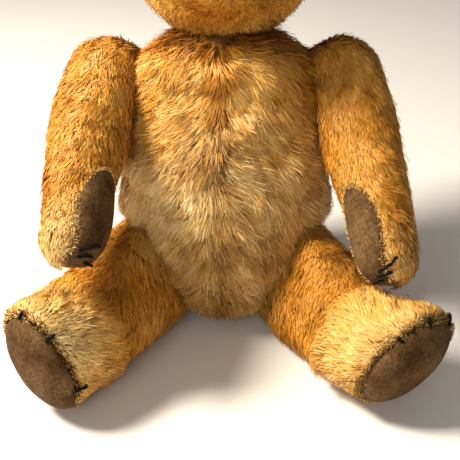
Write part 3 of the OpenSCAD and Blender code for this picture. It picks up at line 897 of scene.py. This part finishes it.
for side, word in ((1, "left"), (-1, "right")):
    body = f"arm_{word}"
    r = rings(arm_rows(side), (-27, ARM_REACH), (26, 19), 40, 48)
    r[..., 2] *= -1
    r[..., 0] = np.maximum(r[..., 0], GAP / 2)
    arm = finished_skin(f"{word}_arm_skin", body, [f"{word}_arm_cover", f"{word}_arm_stuffing"],
                        placed(r, arm_at(side)), [flat_of(shoulder_at(side), (1, 0, 0))], voxel=0.0035, rounds=5)
    tree = surface_of(arm)
    pad_m = pad_at(side)
    pad_inv = pad_m.inverted()
    pad_patch(f"{word}_paw_felt", tree, pad_m, PAD_R, PAD_L + 1, (0, -1, 0), 0.0022, body,
              [f"{word}_paw_pad"])
    seam_specks(f"{word}_paw_seam_pile", tree, pad_m, PAD_R, PAD_L + 1, (0, -1, 0), body, 700, 70 + side)
    arm_inv = arm_at(side).inverted()
    down = np.array(arm_at(side).to_3x3() @ Vector((0, 0, -1)))
    away = np.array(shoulder_at(side).to_3x3() @ Vector((1, 0, 0)))

    def arm_comb(p, n, down=down, away=away):
        return down * 0.8 + away * 0.35 - UP * 0.45 + n * 0

    def arm_keep(p, pad_inv=pad_inv, arm_inv=arm_inv):
        q = placed(p / MM, pad_inv)
        d = np.hypot(q[:, 0] / PAD_R, q[:, 2] / (PAD_L + 1))
        front = q[:, 1] < 0
        share = np.where(front & (d < 1.0), 0.0, 1.0)
        rate = np.where(q[:, 0] < 0, 0.7, 1.8)
        short = np.where(front | (q[:, 0] < 0), np.clip(0.30 + (d - 1) * rate, 0.30, 1), 1.0)
        a = placed(p / MM, arm_inv)
        share = np.where(a[:, 0] < -2, 0.3, share)
        paw = np.clip((-a[:, 2] - 110) / 40, 0, 1)
        return share, short * (1 - 0.25 * paw)

    def arm_straw(p, pad_inv=pad_inv):
        q = placed(p / MM, pad_inv)
        return np.clip(0.35 - q[:, 2] / 60, 0.1, 0.6)

    def arm_shade(p, n, pad_inv=pad_inv):
        q = placed(p / MM, pad_inv)
        d = np.hypot(q[:, 0] / PAD_R, q[:, 2] / (PAD_L + 1))
        edge = np.exp(-((d - 1.03) / 0.13) ** 2) * (q[:, 1] < 0)
        return 1.5 * edge + 0.5 * np.clip(-q[:, 2] / 40 + 0.1, -0.4, 1)

    pile(f"{word}_arm_pile", arm, body, 3.1, 0.0088, arm_comb, arm_keep, 41 + side, arm_shade, straw=arm_straw)

    claws = []
    for x0, z0, x1, z1 in PAW_CLAWS[side]:
        line = []
        for k in np.linspace(0, 1, 9):
            x, z = x0 + (x1 - x0) * k, z0 + (z1 - z0) * k
            line.append((pad_m @ Vector((x, -16 + 0.4 * abs(x), z))) * MM)
        claws.append(dropped(tree, line, PAW_CLAW_LIFT))
    made = tube(f"{word}_paw_claw_thread", claws, PAW_CLAW_R, thread, body)
    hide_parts(f"{word}_paw_claws")

# ---- Legs ----------------------------------------------------------------------------------------

SOLE_W, SOLE_L, SOLE_LOW = 26, 33.5, 1.5
FOOT_CLAWS = {1: ((95, 7), (131, 6), (168, 6)),      # degrees round the sole, and length
              -1: ((102, 6), (146, 8), (212, 12))}
FOOT_CLAW_R, FOOT_CLAW_LIFT = 0.0012, 0.0028
SOLE_SPECKS, SOLE_SPECKS_QUICK = 3000, 600


def sole_cushion(name, matrix, body, nodes, steps=(20, 64)):
    """The domed sole: full in its middle and rolled back into the seam at its edge."""
    verts = []
    rings_n, n = steps
    for i in range(rings_n + 1):
        s = i / rings_n
        for j in range(n):
            a = 2 * math.pi * j / n
            u, v = SOLE_W * s * math.cos(a), SOLE_L * s * math.sin(a)
            z = -6.2 + 13.3 * (1 - s ** 2.4) ** 0.6 + 0.5 * math.sin(u * 0.21 + 1) * math.cos(v * 0.17) * (1 - s)
            verts.append((u, v - SOLE_LOW, z))
    verts = placed(np.array(verts), matrix)
    verts[:, 2] = np.maximum(verts[:, 2], 0.3)
    obj = outward(new_object(name, verts * MM, quads(rings_n, n), [felt]))
    cloth_skin(obj)
    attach(obj, body)
    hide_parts(*nodes)
    return obj


for side, word in ((1, "left"), (-1, "right")):
    body = f"leg_{word}"
    r = rings(leg_rows(side), (-28, LEG_REACH), (28, 9), 44, 56, FOOT_TURN[side], -FOOT_ROLL[side])
    r = placed(r, turned("X", 90))
    r[..., 0] = np.maximum(r[..., 0], GAP / 2)
    r = placed(r, hip_at(side))
    r[..., 2] = np.maximum(r[..., 2], 0)
    leg = finished_skin(f"{word}_leg_skin", body, [f"{word}_leg_cover", f"{word}_leg_stuffing"], r,
                        [flat_of(hip_at(side), (1, 0, 0))], voxel=0.004, rounds=5)
    tree = surface_of(leg)
    sole_m = sole_at(side)
    sole_inv = sole_m.inverted()
    sole_cushion(f"{word}_sole_felt", sole_m, body, [f"{word}_sole_pad"])
    hip_m = hip_at(side)
    hip_inv = hip_m.inverted()
    along = np.array(hip_m.to_3x3() @ Vector((0, -1, 0)))

    def leg_comb(p, n, along=along, sole_inv=sole_inv):
        q = placed(p / MM, sole_inv)
        near = np.clip(1.7 - (-q[:, 2] - 6) / 32, 0, 1)[:, None]
        back = -along
        fall = along * 0.55 - UP * 0.75
        return fall * (1 - near) + (back * 0.8 - UP * 0.35) * near

    def leg_keep(p, sole_inv=sole_inv, hip_inv=hip_inv):
        q = placed(p / MM, sole_inv)
        d = np.hypot(q[:, 0] / SOLE_W, (q[:, 1] + SOLE_LOW) / SOLE_L)
        on_sole = (q[:, 2] > -9.0) & (d < 0.93)
        share = np.where(on_sole, 0.0, 1.0)
        short = np.clip(0.32 + (-q[:, 2] - 4) / 26, 0.32, 1) + 0.65 * np.exp(-((q[:, 2] + 36) / 12) ** 2)
        share[p[:, 2] < FLOOR_BARE] = 0
        h = placed(p / MM, hip_inv)
        share = np.where(h[:, 0] < 0.5, share * 0.5, share)
        return share, short

    def leg_straw(p, sole_inv=sole_inv):
        q = placed(p / MM, sole_inv)
        return np.clip(0.58 + q[:, 2] / 70, 0.05, 0.58)

    def leg_shade(p, n, sole_inv=sole_inv):
        q = placed(p / MM, sole_inv)
        # painted light on the top of the foot: upward-facing pile near the sole is paler
        near = np.clip(1 - (-q[:, 2] - 4) / 50, 0, 1)
        # painted shadow behind the pale ruff above the foot: a band of pile about 62 mm up from the sole is darker
        shadow_behind_ruff = np.exp(-((q[:, 2] + 62) / 14) ** 2)
        return 1.4 * near * np.clip(n[:, 2] + 0.6, 0, 1) - 0.5 * shadow_behind_ruff

    pile(f"{word}_leg_pile", leg, body, 3.0, 0.0092, leg_comb, leg_keep, 51 + side, leg_shade, straw=leg_straw)

    rng = np.random.default_rng(90 + side)
    count = SOLE_SPECKS
    angle = rng.random(count) * 2 * math.pi
    back = 6.5 * rng.random(count) ** 1.3
    spots = [(sole_m @ Vector(((SOLE_W + k * 0.25) * math.cos(a), (SOLE_L + k * 0.25) * math.sin(a) - SOLE_LOW,
                               -3.2 - k))) * MM for a, k in zip(angle, back)]
    root = dropped(tree, spots, 0)
    stand = unit(dropped(tree, spots, 1) - root)
    out = np.stack([np.cos(angle), np.sin(angle), 0 * angle], 1) @ np.array(sole_m.to_3x3()).T
    ahead = np.array(sole_m.to_3x3() @ Vector((0, 0, 1)))
    d = unit(stand * 0.9 + out * 0.3 + ahead * (0.45 - back / 8)[:, None] + rng.normal(0, 0.32, (count, 3)))
    w = unit(np.cross(d, rng.normal(size=(count, 3)))) * 0.00028
    long = rng.uniform(0.0016, 0.0036, count)[:, None]
    verts = np.empty((count, STRAND_POINTS, 3), np.float32)
    for k, s in enumerate((0, 0.5, 0.85)):
        verts[:, 2 * k] = root + d * long * s - w * (1 - 0.4 * s)
        verts[:, 2 * k + 1] = root + d * long * s + w * (1 - 0.4 * s)
    verts[:, 6] = root + d * long
    verts[:, :, 2] = np.maximum(verts[:, :, 2], ON_FLOOR)
    tones = np.clip(np.rint(rng.normal(3.3, 0.9, count)), 1, TONES - 1) + TONES * (rng.random(count) < 0.7)
    specks = strands(f"{word}_sole_seam_pile", verts, tones.astype(np.int32), unit(stand + d * 0.3))
    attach(specks, body)

    claws = []
    for a, long in FOOT_CLAWS[side]:
        c, w = math.cos(math.radians(a)), math.sin(math.radians(a))
        line = [(sole_m @ Vector(((SOLE_W + k * 0.3) * c, (SOLE_L + k * 0.3) * w - SOLE_LOW, -2.5 - k))) * MM
                for k in np.linspace(0, long, 8)]
        claws.append(dropped(tree, line, FOOT_CLAW_LIFT))
    made = tube(f"{word}_foot_claw_thread", claws, FOOT_CLAW_R, thread, body)
    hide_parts(f"{word}_foot_claws")

# ---- Floor, light and camera ---------------------------------------------------------------------

floor_mat = plain("floor_paint", (0.86, 0.85, 0.83), 0.9, 0, 0.2)
floor = new_object("floor", [(-4, -4, 0), (4, -4, 0), (4, 4, 0), (-4, 4, 0)], [[0, 1, 2, 3]], [floor_mat])

bpy.context.scene.view_settings.view_transform = "Standard"
world = bpy.data.worlds.new("studio")
bpy.context.scene.world = world
world.use_nodes = True
world.node_tree.nodes["Background"].inputs["Color"].default_value = (1.0, 0.93, 0.83, 1)
world.node_tree.nodes["Background"].inputs["Strength"].default_value = 0.26


def area_light(name, at_m, aim, size, power, colour):
    data = bpy.data.lights.new(name, "AREA")
    data.size = size
    data.energy = power
    data.color = colour
    obj = bpy.data.objects.new(name, data)
    obj.location = at_m
    obj.rotation_mode = "QUATERNION"
    obj.rotation_quaternion = (Vector(aim) - Vector(at_m)).to_track_quat("-Z", "Y")
    bpy.context.scene.collection.objects.link(obj)


area_light("key", (-0.76, -0.10, 0.96), (0, -0.03, 0.09), 0.30, 30, (1.0, 0.91, 0.76))
area_light("fill", (-0.35, -1.3, 0.7), (0, 0, 0.1), 0.7, 4.5, (1.0, 0.94, 0.86))

CAMERA_AT, CAMERA_AIM = (0, -0.5393, 0.358), (0.0056, 0.8717, -0.49)
cam = bpy.data.cameras.new("camera")
cam.sensor_width = 36
cam.lens = 67.07
cam.clip_start = 0.01
camera = bpy.data.objects.new("camera", cam)
camera.location = CAMERA_AT
camera.rotation_mode = "QUATERNION"
camera.rotation_quaternion = Vector(CAMERA_AIM).to_track_quat("-Z", "Y")
bpy.context.scene.collection.objects.link(camera)
bpy.context.scene.camera = camera
